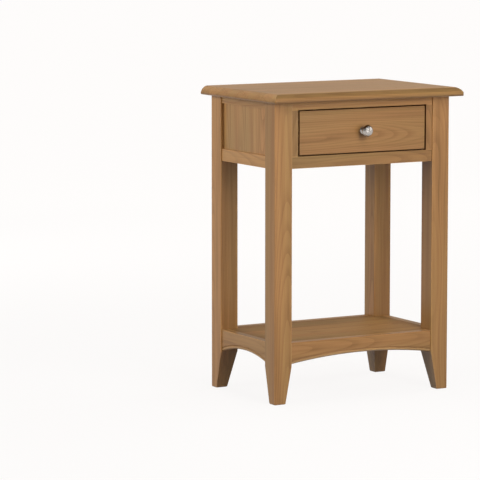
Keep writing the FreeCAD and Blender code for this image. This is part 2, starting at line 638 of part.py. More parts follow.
def make_drawer_side(name, sign):
    """A side with dovetails to the front, a stopped runner groove outside, and inside a groove for
    the bottom and a housing for the back."""
    body = new_body(name)
    outer = f"{sign} * {DRAWER_WIDTH} / 2"
    inner = f"{sign} * {INNER_WIDTH} / 2"
    inwards = sign > 0
    board = new_sketch(body, "YZ_Plane", outer, name="board")
    draw_rectangle(board, "front_thick", DRAWER_LENGTH, "0", DRAWER_HEIGHT)
    pad(body, board, "side_thick", flip=inwards)
    tail = new_sketch(body, "YZ_Plane", outer, name="dovetail")
    draw_tail(tail, "0")
    repeat_tails(body, pad(body, tail, "side_thick", flip=inwards), tail)
    radius = "(groove_height / 2)"
    groove = new_sketch(body, "YZ_Plane", outer, name="runner_groove")
    draw_rectangle(groove, f"{GROOVE_END} + {radius}", f"{DRAWER_LENGTH} + {CUT_MARGIN}",
                   f"{GROOVE_MIDDLE} - {radius}", f"{GROOVE_MIDDLE} + {radius}")
    pocket(body, groove, "groove_depth", flip=not inwards)
    groove_end = new_sketch(body, "YZ_Plane", outer, name="groove_end")
    draw_circle(groove_end, f"{GROOVE_END} + {radius}", GROOVE_MIDDLE, radius)
    pocket(body, groove_end, "groove_depth", flip=not inwards)
    bottom = new_sketch(body, "YZ_Plane", inner, name="bottom_groove")
    draw_rectangle(bottom, f"socket_lap - {CUT_MARGIN}", f"{DRAWER_LENGTH} + {CUT_MARGIN}",
                   "bottom_lift - joint_gap", "bottom_lift + bottom_thick + joint_gap")
    pocket(body, bottom, "bottom_groove", flip=inwards)
    housing = new_sketch(body, "YZ_Plane", inner, name="back_housing")
    draw_rectangle(housing, f"{BACK_FRONT} - joint_gap", f"{BACK_FRONT} + back_thick + joint_gap",
                   "bottom_lift + bottom_thick", f"{DRAWER_HEIGHT} + {CUT_MARGIN}")
    pocket(body, housing, "housing_depth + joint_gap", flip=inwards)
    place_drawer_piece(body)


def make_drawer_back():
    body = new_body("drawer_back")
    half = f"({INNER_WIDTH} / 2 + housing_depth)"
    face = new_sketch(body, "XZ_Plane", f"-{BACK_FRONT}", name="face")
    draw_rectangle(face, f"-{half}", half, "bottom_lift + bottom_thick + joint_gap",
                   f"{DRAWER_HEIGHT} - back_drop")
    pad(body, face, "back_thick", flip=True)
    place_drawer_piece(body)


def make_drawer_bottom():
    body = new_body("drawer_bottom")
    half = f"({INNER_WIDTH} / 2 + bottom_groove - joint_gap)"
    plan = new_sketch(body, "XY_Plane", "bottom_lift", name="plan")
    draw_rectangle(plan, f"-{half}", half, "front_thick - bottom_groove + joint_gap",
                   f"{BACK_FRONT} + back_thick")
    pad(body, plan, "bottom_thick")
    place_drawer_piece(body)


def make_knob():
    """A turned metal knob: a round foot, a neck that flares to the head, and a bevelled face."""
    body = new_body("knob")
    profile = new_sketch(body, "XY_Plane", name="turned_profile")
    bore = "(bolt_radius + screw_gap)"
    rim_back = "-(knob_length - knob_bevel - knob_rim)"
    rim_front = "-(knob_length - knob_bevel)"
    draw_outline(profile, (
        (bore, "0"),
        ("knob_foot_radius", "0"),
        ("knob_foot_radius", "-knob_foot_height"),
        ("knob_neck_radius", "-knob_foot_height"),
        ("knob_neck_radius", f"{rim_back} + knob_flare"),
        ("knob_waist_radius", f"{rim_back} + knob_flare / 2"),
        ("knob_radius", rim_back),
        ("knob_radius", rim_front),
        ("knob_face_radius", "-knob_length"),
        ("0", "-knob_length"),
        ("0", "-(bolt_bite + screw_gap)"),
        (bore, "-(bolt_bite + screw_gap)")))
    turned = body.newObject("PartDesign::Revolution", "turned")
    turned.Profile = profile
    turned.ReferenceAxis = (profile, ["V_Axis"])
    turned.Angle = 360
    doc.recompute()
    place(body, y=DRAWER_FACE, z=f"{DRAWER_BOTTOM} + {KNOB_HEIGHT}")


def make_knob_bolt():
    body = new_body("knob_bolt")
    head = new_sketch(body, "XZ_Plane", "-front_thick", name="head")
    draw_circle(head, "0", "0", "bolt_head_radius")
    pad(body, head, "bolt_head_height", flip=True)
    shank = new_sketch(body, "XZ_Plane", "-front_thick", name="shank")
    draw_circle(shank, "0", "0", "bolt_radius")
    pad(body, shank, "front_thick + bolt_bite")
    place(body, y=DRAWER_FACE, z=f"{DRAWER_BOTTOM} + {KNOB_HEIGHT}")


def make_frame():
    make_tabletop()
    make_leg("leg_front_left", 1, 1)
    make_leg("leg_front_right", -1, 1)
    make_leg("leg_back_left", 1, -1)
    make_leg("leg_back_right", -1, -1)
    make_rail("front_top_rail", "front", OPENING_TOP, "top_rail_height")
    make_rail("front_bottom_rail", "front", CASE_BOTTOM, "bottom_rail_height")
    make_stile("front_stile_left", -1)
    make_stile("front_stile_right", 1)
    for side in ("left", "right", "back"):
        make_rail(f"{side}_top_rail", side, PANEL_TOP, "side_top_height", "lower")
        make_rail(f"{side}_bottom_rail", side, CASE_BOTTOM, "side_bottom_height", "upper")
        make_panel(f"{side}_panel", side)
    make_shelf()
    for side in SIDES:
        make_apron(f"apron_{side}", side, "front_arch_rise" if side in ("front", "back") else "side_arch_rise")
    for side, sign in (("left", -1), ("right", 1)):
        make_runner(f"drawer_runner_{side}", sign)
        make_batten(f"top_batten_{side}", sign)


def make_drawer():
    make_drawer_front()
    make_drawer_side("drawer_side_left", -1)
    make_drawer_side("drawer_side_right", 1)
    make_drawer_back()
    make_drawer_bottom()
    make_knob()
    make_knob_bolt()


def check_and_write():
    """Stop if anything in the document failed, then write one file for each sub-part."""
    doc.recompute()
    for item in doc.Objects:
        if {"Invalid", "Error"} & set(item.State):
            raise ValueError(f"{item.Name}: {item.State}")
    os.makedirs("parts", exist_ok=True)
    for item in subparts:
        if item.Shape.isNull() or not item.Shape.isValid() or not item.Shape.Solids:
            raise ValueError(f"{item.Label}: its shape isn't valid")
    for item in subparts:
        item.Shape.exportStep(f"parts/{item.Label}.step")
    print(f"{len(subparts)} sub-parts written")


make_frame()
make_drawer()
make_runner_screws()
check_and_write()
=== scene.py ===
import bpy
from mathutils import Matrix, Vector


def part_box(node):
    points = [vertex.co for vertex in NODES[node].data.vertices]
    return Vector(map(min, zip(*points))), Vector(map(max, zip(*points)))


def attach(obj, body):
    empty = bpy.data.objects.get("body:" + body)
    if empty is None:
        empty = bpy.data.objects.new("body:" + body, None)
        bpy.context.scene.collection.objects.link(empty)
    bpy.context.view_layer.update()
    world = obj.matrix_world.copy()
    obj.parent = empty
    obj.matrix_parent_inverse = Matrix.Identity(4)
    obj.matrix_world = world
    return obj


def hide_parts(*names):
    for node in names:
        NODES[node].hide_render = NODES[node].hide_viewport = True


bl_info = {
    "name": "Telephone Table",
    "version": (1, 0, 0),
    "blender": (4, 5, 0),
    "location": "View3D > Sidebar > Telephone Table",
    "description": "Finishes a small oak telephone table with a drawer and a low shelf",
    "category": "Object",
}

import math

import bmesh
import bpy
import numpy as np
from mathutils import Vector

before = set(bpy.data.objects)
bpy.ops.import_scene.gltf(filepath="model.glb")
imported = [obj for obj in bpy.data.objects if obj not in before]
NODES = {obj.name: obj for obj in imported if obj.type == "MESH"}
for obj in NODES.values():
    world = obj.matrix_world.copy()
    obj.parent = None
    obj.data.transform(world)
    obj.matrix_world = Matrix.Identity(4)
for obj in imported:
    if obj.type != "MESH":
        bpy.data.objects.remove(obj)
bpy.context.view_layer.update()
CROSS_AXES = {"X": ("Y", "Z"), "Y": ("X", "Z"), "Z": ("X", "Y")}

# One entry for each oak board: the axis that the grain follows, the axis across the wide face, how
# far the heart of the tree lies from the board's middle across and below that face (metres), the
# tone (1 is the mean), and how many staves it is glued up from.
BOARDS = {
    "tabletop": ("X", "Y", (0.030, -0.095), 1.03, 4),
    "leg_front_left": ("Z", "X", (0.012, -0.070), 0.97, 1),
    "leg_front_right": ("Z", "X", (-0.020, -0.085), 0.87, 1),
    "leg_back_left": ("Z", "Y", (0.015, -0.060), 1.12, 1),
    "leg_back_right": ("Z", "Y", (-0.010, -0.075), 0.96, 1),
    "front_top_rail": ("X", "Z", (0.006, -0.050), 0.98, 1),
    "front_bottom_rail": ("X", "Z", (-0.008, -0.060), 0.70, 1),
    "front_stile_left": ("Z", "X", (0.010, -0.045), 0.68, 1),
    "front_stile_right": ("Z", "X", (-0.010, -0.055), 0.70, 1),
    "left_top_rail": ("Y", "Z", (0.010, 0.050), 1.06, 1),
    "left_bottom_rail": ("Y", "Z", (-0.010, 0.060), 1.21, 1),
    "left_panel": ("Z", "Y", (0.020, 0.060), 1.07, 3),
    "right_top_rail": ("Y", "Z", (0.010, -0.050), 1.00, 1),
    "right_bottom_rail": ("Y", "Z", (-0.010, -0.060), 1.02, 1),
    "right_panel": ("Z", "Y", (-0.020, -0.060), 0.98, 3),
    "back_top_rail": ("X", "Z", (0.008, 0.050), 0.98, 1),
    "back_bottom_rail": ("X", "Z", (-0.008, 0.055), 1.00, 1),
    "back_panel": ("X", "Z", (0.010, 0.070), 0.97, 1),
    "shelf": ("X", "Y", (-0.020, -0.080), 0.71, 3),
    "apron_front": ("X", "Z", (0.004, -0.055), 0.89, 1),
    "apron_right": ("Y", "Z", (0.010, -0.050), 1.00, 1),
    "apron_back": ("X", "Z", (-0.006, 0.060), 0.98, 1),
    "apron_left": ("Y", "Z", (0.008, 0.050), 1.05, 1),
    "drawer_runner_left": ("Y", "Z", (0.010, 0.040), 1.02, 1),
    "drawer_runner_right": ("Y", "Z", (0.010, -0.040), 1.02, 1),
    "top_batten_left": ("Y", "Z", (0.010, 0.040), 1.00, 1),
    "top_batten_right": ("Y", "Z", (0.010, -0.040), 1.00, 1),
    "drawer_front": ("X", "Z", (-0.012, -0.048), 0.77, 1),
    "drawer_side_left": ("Y", "Z", (0.014, 0.050), 1.05, 1),
    "drawer_side_right": ("Y", "Z", (-0.014, -0.050), 1.05, 1),
    "drawer_back": ("X", "Z", (0.010, 0.050), 1.04, 1),
    "drawer_bottom": ("X", "Y", (0.050, -0.200), 1.04, 1),
}
FRONT_FRAME = ("drawer_front", "front_top_rail", "front_bottom_rail", "front_stile_left",
               "front_stile_right")
DRAWER_BOX = ("drawer_side_left", "drawer_side_right", "drawer_back", "drawer_bottom")

# The noises in the wood: how fast each changes across and along the grain (per metre), its detail,
# and which of the three directions (wide, deep, along) the board's seed shifts. How fast the pores
# change along the grain comes from their length.
GRAIN_NOISE = {
    "wander": (5.0, 1.6, 2.0, 0),
    "waver": (34.0, 5.0, 3.0, 1),
    "fine": (900.0, 26.0, 1.0, None),
    "pores": (2300.0, None, 2.0, 1),
    "streaks": (75.0, 2.2, 3.0, 0),
    "clouds": (14.0, 3.0, 2.0, 2),
    "lines": (260.0, 5.0, 2.0, 1),
    "hue": (13.0, 1.1, 2.0, 0),
}
SEED_STEP = 0.37
# How far the heart of the tree strays (metres), and how much it leans along the grain.
HEART_STRAY_WIDE, HEART_STRAY_DEEP, RING_WAVER, HEART_LEAN = 0.020, 0.045, 0.0035, 0.035
# Where in a year's growth the open wood ends, and the least vigour of a year.
OPEN_WOOD, LEAST_VIGOUR = (0.04, 0.62), 0.35
# Where each noise sets in and is full.
PORES_FROM_TO, STREAKS_FROM_TO = (0.60, 0.72), (0.35, 0.75)
LINES_FROM_TO, HUE_FROM_TO = (0.30, 0.75), (0.34, 0.70)
# How much rings, streaks, lines and fine grain take of the ring wood's colour.
RING_SHARE, STREAK_SHARE, LINE_SHARE, FINE_SHARE, TINT_START = 0.40, 0.46, 0.26, 0.10, -0.06
PORES_IN_DENSE_WOOD, PORE_DEPTH, CLOUD_DEPTH, BOX_RING_TONE = 0.25, 0.5, 0.24, 0.74

# How far a stave's figure is shifted across (share of its width) and along (metres), and how much
# the staves of one board differ in tone.
STAVE_SHIFT, STAVE_SLIDE = 0.8, 0.9
STAVE_SPREAD, SHELF_STAVE_SPREAD = 0.14, 0.26

# Painted shade along the line where a board meets a leg, standing in for the shade in the joint:
# its width on boards, its width on panels, where it is a wider painted shadow of the legs beside
# the recess, and its depth.
SEAM_WIDTH, PANEL_PAINTED_SHADOW_WIDTH, SEAM_PAINTED_SHADE = 0.0012, 0.0060, 0.40

# The shade at the mouth of the gap round the drawer: how far it laps onto the faces, how soft its
# edge is, between which depths behind the face it ends, and its strength.
GAP_LAP, GAP_BLUR, GAP_SHADE = 0.0007, 0.0003, 0.88
GAP_ON_DRAWER, GAP_ON_FRAME = (0.0025, 0.0055), (0.0050, 0.0110)

# The tabletop's moulded edge, whose shading is painted into its colour: depths under the top face
# where its parts set in, and how much darker each is along the front and round the ends, as
# painted shade; the fuller part's negative share along the front is a painted highlight.
MOULDING_START, MOULDING_END = (0.0004, 0.0014), (0.0006, 0.0002)
MOULDING_FULLER, MOULDING_LOWER = (0.0075, 0.0110), (0.0140, 0.0180)
MITRE_BLUR = 0.001
FRONT_HOLLOW, FRONT_FULLER, FRONT_LOWER = 0.46, -0.24, 0.22
END_FULLER, END_LOWER = 0.08, 0.20

# The aprons' arches and beads: the rise of the arch, and how far above its edge the painted shade
# in the quirk and the painted highlight on the crown of the bead set in, are full, begin to fade
# and end.
ARCH_RISE = {"X": 0.015, "Y": 0.017}
QUIRK, QUIRK_SHADE = (0.0080, 0.0088, 0.0094, 0.0104), 0.35
CROWN, CROWN_PAINTED_HIGHLIGHT = (0.0010, 0.0022, 0.0046, 0.0064), 0.60

# Roughness and gloss of the lacquer. The shelf is duller, and the drawer's box is only sanded.
SHELF_ROUGHNESS, BOX_ROUGHNESS = 0.60, 0.50
LACQUER_IOR, LACQUER_SPECULAR = 1.48, 0.36
# How much duller pores, streaks and the drawer gap are, and how the lacquer sinks over the wood.
PORE_DULLNESS, STREAK_DULLNESS, GAP_DULLNESS = 0.25, 0.06, 0.5
PORE_HOLLOW, RING_HOLLOW, FINE_RELIEF = 0.8, 0.15, 0.10
LACQUER_BUMP, LACQUER_DEPTH = 0.35, 0.0002

STEEL_ROUGHNESS, STEEL_MARKS = 0.34, 0.0004
# Pieces that rest on a board lie this far off it, so that no two faces coincide.
HAIR = 0.00002

# Each studio light: bearing from straight in front towards the right and elevation (degrees),
# distance, width and height (metres), power (watts), and whether gloss shows it. They face a point
# in the middle of the table.
STUDIO_LIGHTS = (
    ("front_low_light", 0.0, 15.0, 2.4, (1.0, 1.0), 34.0, False),
    ("front_middle_light", 0.0, 30.0, 2.4, (1.0, 1.0), 5.5, False),
    ("front_high_light", 0.0, 45.0, 1.9, (0.8, 0.8), 8.9, False),
    ("right_light", 95.0, 20.0, 3.2, (1.6, 1.6), 66.6, False),
    ("left_light", -90.0, 20.0, 3.2, (1.6, 1.6), 68.0, False),
    ("top_light", 0.0, 85.0, 3.2, (1.4, 1.4), 28.0, False),
    ("back_light", 180.0, 25.0, 3.2, (1.6, 1.6), 45.0, False),
    ("floor_bounce", 0.0, -88.0, 2.6, (2.4, 2.4), 14.0, False),
    ("knob_middle_glint", 18.0, 8.0, 3.0, (0.16, 1.6), 4.5, True),
    ("knob_side_glint", 47.0, 13.0, 3.0, (0.55, 0.9), 4.5, True),
)
LIGHTS_FACE = Vector((0.0, 0.0, 0.40))

# The floor: its half width, how bright it is near the table, and where the backdrop takes over
# (metres). Its grey is what throws light back on the wood.
FLOOR_REACH, FLOOR_NEAR, FLOOR_FADE = 60.0, 0.925, (1.0, 4.5)
FLOOR_SHADOW_GREY, FLOOR_GREY = 0.05, 0.12
# What mirrors see: the horizon's strength, how much darker the ceiling is, and where it begins.
HORIZON, CEILING_DROP, CEILING_FROM_TO = 0.45, 0.30, (0.25, 0.75)


def box_middle(node):
    """The middle of a CAD node's box, and its size, as numpy arrays in metres."""
    low, high = (np.array(corner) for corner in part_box(node))
    return (low + high) / 2, high - low


class OakSettings(bpy.types.PropertyGroup):
    """Colours and figure of the lacquered oak"""
    light: bpy.props.FloatVectorProperty(
        name="Light wood", description="Wood between the growth rings", subtype="COLOR",
        size=3, min=0, max=1, default=(0.430, 0.213, 0.076))
    olive: bpy.props.FloatVectorProperty(
        name="Olive wood", description="Greener streaks between the growth rings",
        subtype="COLOR", size=3, min=0, max=1, default=(0.382, 0.224, 0.079))
    dark: bpy.props.FloatVectorProperty(
        name="Ring wood", description="Porous wood along a growth ring", subtype="COLOR",
        size=3, min=0, max=1, default=(0.240, 0.113, 0.037))
    # The pore colour also paints the shade in the aprons' quirks.
    pore_and_quirk_shade: bpy.props.FloatVectorProperty(
        name="Pores", description="Open pores in the grain", subtype="COLOR",
        size=3, min=0, max=1, default=(0.150, 0.065, 0.020))
    gap: bpy.props.FloatVectorProperty(
        name="Gap", description="Shade in the narrow gap round the drawer", subtype="COLOR",
        size=3, min=0, max=1, default=(0.060, 0.022, 0.005))
    # The drawer box's pale wood also paints the highlight on the crowns of the aprons' beads.
    box_wood_and_bead_highlight: bpy.props.FloatVectorProperty(
        name="Drawer box wood", description="Paler wood of the drawer's sides, back and bottom",
        subtype="COLOR", size=3, min=0, max=1, default=(0.560, 0.330, 0.140))
    ring_spacing: bpy.props.FloatProperty(
        name="Ring spacing", description="Thickness of one year's growth", unit="LENGTH",
        default=0.0034, min=0.001, max=0.010)
    pore_length: bpy.props.FloatProperty(
        name="Pore length", description="Length of the dark pore streaks", unit="LENGTH",
        default=0.009, min=0.002, max=0.03)
    # The paler arrises stand partly for sanded wear and partly for a painted highlight where light
    # catches the rounded arrises.
    edge_width: bpy.props.FloatProperty(
        name="Edge width", description="Width of the paler line along sanded arrises",
        unit="LENGTH", default=0.0022, min=0, max=0.006)
    arris_wear_and_highlight: bpy.props.FloatProperty(
        name="Edge lift", description="How much paler the sanded arrises are", default=0.20,
        min=0, max=1)
    roughness: bpy.props.FloatProperty(
        name="Lacquer roughness", description="Roughness of the satin lacquer", default=0.36,
        min=0.05, max=1)


class MetalSettings(bpy.types.PropertyGroup):
    """Colours and finish of the knob and the screws"""
    nickel: bpy.props.FloatVectorProperty(
        name="Nickel", description="Colour of the satin nickel", subtype="COLOR", size=3,
        min=0, max=1, default=(0.46, 0.43, 0.40))
    steel: bpy.props.FloatVectorProperty(
        name="Zinc-plated steel", description="Colour of the screws", subtype="COLOR", size=3,
        min=0, max=1, default=(0.55, 0.55, 0.53))
    roughness: bpy.props.FloatProperty(
        name="Nickel roughness", description="Roughness of the satin nickel", default=0.16,
        min=0.05, max=1)
    turning_pitch: bpy.props.FloatProperty(
        name="Turning marks", description="Pitch of the knob's fine turning marks", unit="LENGTH",
        default=0.0005, min=0.0001, max=0.003)


class GapShadeFeltSettings(bpy.types.PropertyGroup):
    """Colour and thickness of the dark strip under the drawer front, which stands in for the shade
    in the gap there
    """
    colour: bpy.props.FloatVectorProperty(
        name="Felt", description="Colour of the felt strip", subtype="COLOR", size=3,
        min=0, max=1, default=(0.075, 0.042, 0.022))
    thickness: bpy.props.FloatProperty(
        name="Felt thickness", description="Top of the felt above its rail", unit="LENGTH",
        default=0.0016, min=0.0013, max=0.0022)


class StageSettings(bpy.types.PropertyGroup):
    """Backdrop, light and camera"""
    backdrop: bpy.props.FloatVectorProperty(
        name="Backdrop", description="Colour of the floor and backdrop", subtype="COLOR",
        size=3, min=0, max=1, default=(0.990, 0.974, 0.964))
    light_level: bpy.props.FloatProperty(
        name="Light level", description="Level of the studio lights (1 is full)", default=1.0,
        min=0)
    ambient: bpy.props.FloatProperty(
        name="Ambient", description="Strength of the even light around", default=0.005, min=0)
    lens: bpy.props.FloatProperty(
        name="Lens", description="Focal length of the camera", subtype="DISTANCE_CAMERA",
        default=222.99)
    camera_place: bpy.props.FloatVectorProperty(
        name="Camera place", description="Where the camera stands", subtype="TRANSLATION",
        size=3, default=(-3.795, -6.2301, 1.2731))
    camera_turn: bpy.props.FloatProperty(
        name="Camera turn", description="Turn from straight back towards the right",
        subtype="ANGLE", default=math.radians(29.57))
    camera_pitch: bpy.props.FloatProperty(
        name="Camera pitch", description="Angle that the camera looks down", subtype="ANGLE",
        default=math.radians(7.06))


class Wire:
    """A node's output that can be used in sums, each of which adds a Math node."""

    def __init__(self, shader, socket):
        self.shader = shader
        self.socket = socket

    def maths(self, operation, *others):
        """A Math node of this wire and the others, which are wires or numbers."""
        inputs = dict(enumerate((self, *others)))
        return self.shader.add("ShaderNodeMath", {"operation": operation}, inputs)

    def __add__(self, other):
        return self.maths("ADD", other)

    __radd__ = __add__

    def __mul__(self, other):
        return self.maths("MULTIPLY", other)

    __rmul__ = __mul__

    def __sub__(self, other):
        return self.maths("SUBTRACT", other)

    def __rsub__(self, other):
        return self.shader.add("ShaderNodeMath", {"operation": "SUBTRACT"}, {0: other, 1: self})

    def __truediv__(self, other):
        return self.maths("DIVIDE", other)

    def __pow__(self, other):
        return self.maths("POWER", other)


class Shader:
    """A material or world node tree that nodes are added to."""

    def __init__(self, owner):
        owner.use_nodes = True
        self.tree = owner.node_tree
        self.tree.nodes.clear()

    def add(self, kind, settings=None, inputs=None, output=0):
        """Add a node. Settings go first, then the values or wires of its sockets."""
        node = self.tree.nodes.new(kind)
        for name, value in (settings or {}).items():
            setattr(node, name, value)
        for name, value in (inputs or {}).items():
            if isinstance(value, Wire):
                self.tree.links.new(value.socket, node.inputs[name])
            else:
                node.inputs[name].default_value = value
        return Wire(self, node.outputs[output]) if node.outputs else node

    def place(self, centre):
        """Object coordinates measured from a centre, in metres."""
        coordinates = self.add("ShaderNodeTexCoord", output="Object")
        mapping = {"Vector": coordinates, "Location": tuple(-value for value in centre)}
        return self.add("ShaderNodeMapping", None, mapping)

    def split(self, vector):
        """The X, Y and Z of a vector, each as a wire."""
        x = self.add("ShaderNodeSeparateXYZ", None, {0: vector})
        return [Wire(self, x.socket.node.outputs[axis]) for axis in "XYZ"]

    def join(self, x, y, z):
        """A vector from three wires or numbers."""
        return self.add("ShaderNodeCombineXYZ", None, {0: x, 1: y, 2: z})

    def noise(self, vector, scale, detail):
        """Smooth noise from 0 to 1."""
        inputs = {"Vector": vector, "Scale": scale, "Detail": detail}
        return self.add("ShaderNodeTexNoise", None, inputs)

    def lot(self, number):
        """A lot from 0 to 1 that is drawn once for each number."""
        return self.add("ShaderNodeTexWhiteNoise", {"noise_dimensions": "1D"}, {"W": number})

    def blend(self, amount, first, second):
        """Two colours mixed by an amount. A Mix node's colours are its sockets 6 and 7, and its
        mixed colour is output 2."""
        return self.add("ShaderNodeMix", {"data_type": "RGBA", "clamp_factor": True},
                        {0: amount, 6: first, 7: second}, 2)

    def blend_numbers(self, amount, first, second):
        """Two numbers mixed by an amount. A Mix node's numbers are its sockets 2 and 3."""
        return self.add("ShaderNodeMix", None, {0: amount, 2: first, 3: second})

    def step(self, value, low, high):
        """A smooth rise from 0 at low to 1 at high."""
        inputs = {"Value": value, "From Min": low, "From Max": high}
        return self.add("ShaderNodeMapRange", {"interpolation_type": "SMOOTHSTEP"}, inputs)

    def near(self, distance, width):
        """1 where a distance is under a quarter of the width, falling to 0 at the width."""
        return 1 - self.step(distance, width * 0.25, width)

    def band(self, value, start, full, fade, end):
        """0 outside start and end, and 1 between full and fade."""
        return self.step(value, start, full) * (1 - self.step(value, fade, end))

    def bump(self, strength, distance, height):
        """A relief of a height from 0 to 1 that stands for a distance in metres."""
        return self.add("ShaderNodeBump", None, {
            "Strength": strength, "Distance": distance, "Height": height})

    def finish(self, inputs):
        """The surface of a material."""
        surface = self.add("ShaderNodeBsdfPrincipled", None, inputs)
        self.add("ShaderNodeOutputMaterial", None, {"Surface": surface})


def solid(colour):
    """A colour with full alpha, as sockets take it."""
    return (*colour, 1.0)


def darker(colour, share):
    """A share of a colour, with full alpha."""
    return solid([value * share for value in colour])


def grain_noise(shader, directions, seed, kind, length=None):
    """One of the noises in the wood, which is stretched along the grain. Where a length is given,
    it changes along the grain once in that length."""
    across, along, detail, shifted = GRAIN_NOISE[kind]
    rates = (across, across, 1.0 / length if length else along)
    steps = [direction * rate for direction, rate in zip(directions, rates)]
    if shifted is not None:
        steps[shifted] = steps[shifted] + seed
    return shader.noise(shader.join(*steps), 1.0, detail)


def edge_mask(shader, place, size, width):
    """1 along the straight arrises of a board's box and 0 on its faces. A point is on an arris
    where its second smallest depth below the box's faces is under the width."""
    depths = []
    for wire, extent in zip(shader.split(place), size):
        distance = wire.maths("ABSOLUTE")
        depths.append((distance * -1) + extent / 2)
    x, y, z = depths
    nearest_two = x.maths("MAXIMUM", y).maths("MINIMUM", y.maths("MAXIMUM", z))
    return shader.near(nearest_two.maths("MINIMUM", x.maths("MAXIMUM", z)), width)


def joint_planes(node):
    """Where a board meets the legs: the axis and the coordinate of the legs' inner faces."""
    _, (right, behind, _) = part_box("leg_front_left")
    if node.startswith(("front_", "back_", "apron_front", "apron_back")):
        return ("X", right), ("X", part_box("leg_front_right")[0][0])
    if node.startswith(("left_", "right_", "apron_left", "apron_right")):
        return ("Y", behind), ("Y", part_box("leg_back_left")[0][1])
    return ()


def plane_mask(shader, axes, centre, planes, width):
    """1 on planes across the axes and 0 farther away from them than the width."""
    mask = 0.0
    for axis, position in planes:
        distance = (axes[axis] - (position - centre["XYZ".index(axis)])).maths("ABSOLUTE")
        mask = shader.near(distance, width).maths("MAXIMUM", mask)
    return mask


def gap_painted_shade_mask(shader, axes, centre, node):
    """1 at the mouth of the gap round the drawer front and on the arrises beside it, and 0 away
    from it: painted shade that stands in for the shade in the gap. On the drawer front it rises at
    its own edges, and on the frame at the edges of the opening. Deeper in, the painted shade fades
    out."""
    on_drawer = node == "drawer_front"
    if on_drawer:
        (left, _, bottom), (right, _, top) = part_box(node)
        inset = GAP_LAP
    else:
        left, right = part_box("front_stile_left")[1][0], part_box("front_stile_right")[0][0]
        bottom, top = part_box("front_bottom_rail")[1][2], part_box("front_top_rail")[0][2]
        inset = -GAP_LAP
    x = axes["X"] - ((left + right) / 2 - centre[0])
    z = axes["Z"] - ((bottom + top) / 2 - centre[2])
    beside = x.maths("ABSOLUTE") - ((right - left) / 2 - inset)
    above = z.maths("ABSOLUTE") - ((top - bottom) / 2 - inset)
    outside = shader.step(beside.maths("MAXIMUM", above), -GAP_BLUR, GAP_BLUR)
    behind = axes["Y"] - (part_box(node)[0][1] - centre[1])
    if on_drawer:
        return outside * (1 - shader.step(behind, *GAP_ON_DRAWER))
    return (1 - outside) * (1 - shader.step(behind, *GAP_ON_FRAME))


def moulding_painted_light(shader, axes, size):
    """The tabletop's moulded edge, with its shading painted into the colour. Along the front,
    painted shade darkens the round under the top arris and again the lower edge, and the fuller
    part between them is painted a little paler as a highlight. Round the ends only the lower part
    is darker, as painted shade. The flat faces above and below keep their tone."""
    length, width, thickness = (float(value) for value in size)
    depth = thickness / 2 - axes["Z"]
    beside = length / 2 - axes["X"].maths("ABSOLUTE")
    before = axes["Y"] + width / 2
    front = shader.step(beside - before, -MITRE_BLUR, MITRE_BLUR)
    underside = [thickness - value for value in MOULDING_END]
    edge = shader.band(depth, *MOULDING_START, *underside)
    fuller = shader.step(depth, *MOULDING_FULLER)
    lower = shader.step(depth, *MOULDING_LOWER)
    along_front = fuller * FRONT_FULLER + lower * FRONT_LOWER + FRONT_HOLLOW
    along_end = fuller * END_FULLER + lower * END_LOWER
    return 1 - edge * (along_end + front * (along_front - along_end))


def bead_distance(axes, centre, node):
    """How far a point lies from an apron's arched edge. The arch is an arc through two points at
    the legs, so its radius is (half span squared + rise squared) / (2 * rise), and the distance
    is the length from the arc's centre less the radius."""
    (axis, near), (_, far) = joint_planes(node)
    half, middle = (far - near) / 2, (far + near) / 2
    rise = ARCH_RISE[axis]
    radius = (half * half + rise * rise) / (2 * rise)
    across = axes[axis] - (middle - centre["XYZ".index(axis)])
    height = axes["Z"] - (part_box(node)[0][2] + rise - radius - centre[2])
    return (across * across + height * height) ** 0.5 - radius


def staved(shader, node, directions, size, seed):
    """The directions of a glued-up board, and its tone, stave by stave. A lot drawn for each stave
    takes its figure from another part of the log, and sets how light it is."""
    _, across, _, _, staves = BOARDS[node]
    if staves == 1:
        return directions, 1.0
    wide, deep, along = directions
    width = float(size["XYZ".index(across)]) / staves
    stave = (wide / width + staves / 2).maths("FLOOR")
    lot = shader.lot(stave + seed)
    middle = (stave + (0.5 - staves / 2)) * width
    wide = wide - middle + (lot - 0.5) * (width * STAVE_SHIFT)
    along = along + lot * STAVE_SLIDE
    spread = SHELF_STAVE_SPREAD if node == "shelf" else STAVE_SPREAD
    return (wide, deep, along), lot * spread + (1 - spread / 2)


def open_wood(shader, directions, seed, heart, oak):
    """The open, porous wood of each year's growth, from 0 to 1. Growth rings are circles round
    the heart of the tree, whose place wanders along the grain, so a wide face shows arched figure
    and a narrow one straight lines. The distance to the heart over the ring spacing gives the
    year, and its fraction the place within the year: open wood at first and dense wood after."""
    wide, deep, along = directions
    wander = grain_noise(shader, directions, seed, "wander") - 0.5
    waver = grain_noise(shader, directions, seed, "waver") - 0.5
    off_wide = wide - heart[0] + wander * HEART_STRAY_WIDE + waver * RING_WAVER
    off_deep = deep - heart[1] + wander * HEART_STRAY_DEEP + along * HEART_LEAN
    years = (off_wide * off_wide + off_deep * off_deep) ** 0.5 / oak.ring_spacing
    year = years.maths("FLOOR")
    vigour = shader.lot(year + seed) * (1 - LEAST_VIGOUR) + LEAST_VIGOUR
    return (1 - shader.step(years - year, *OPEN_WOOD)) * vigour


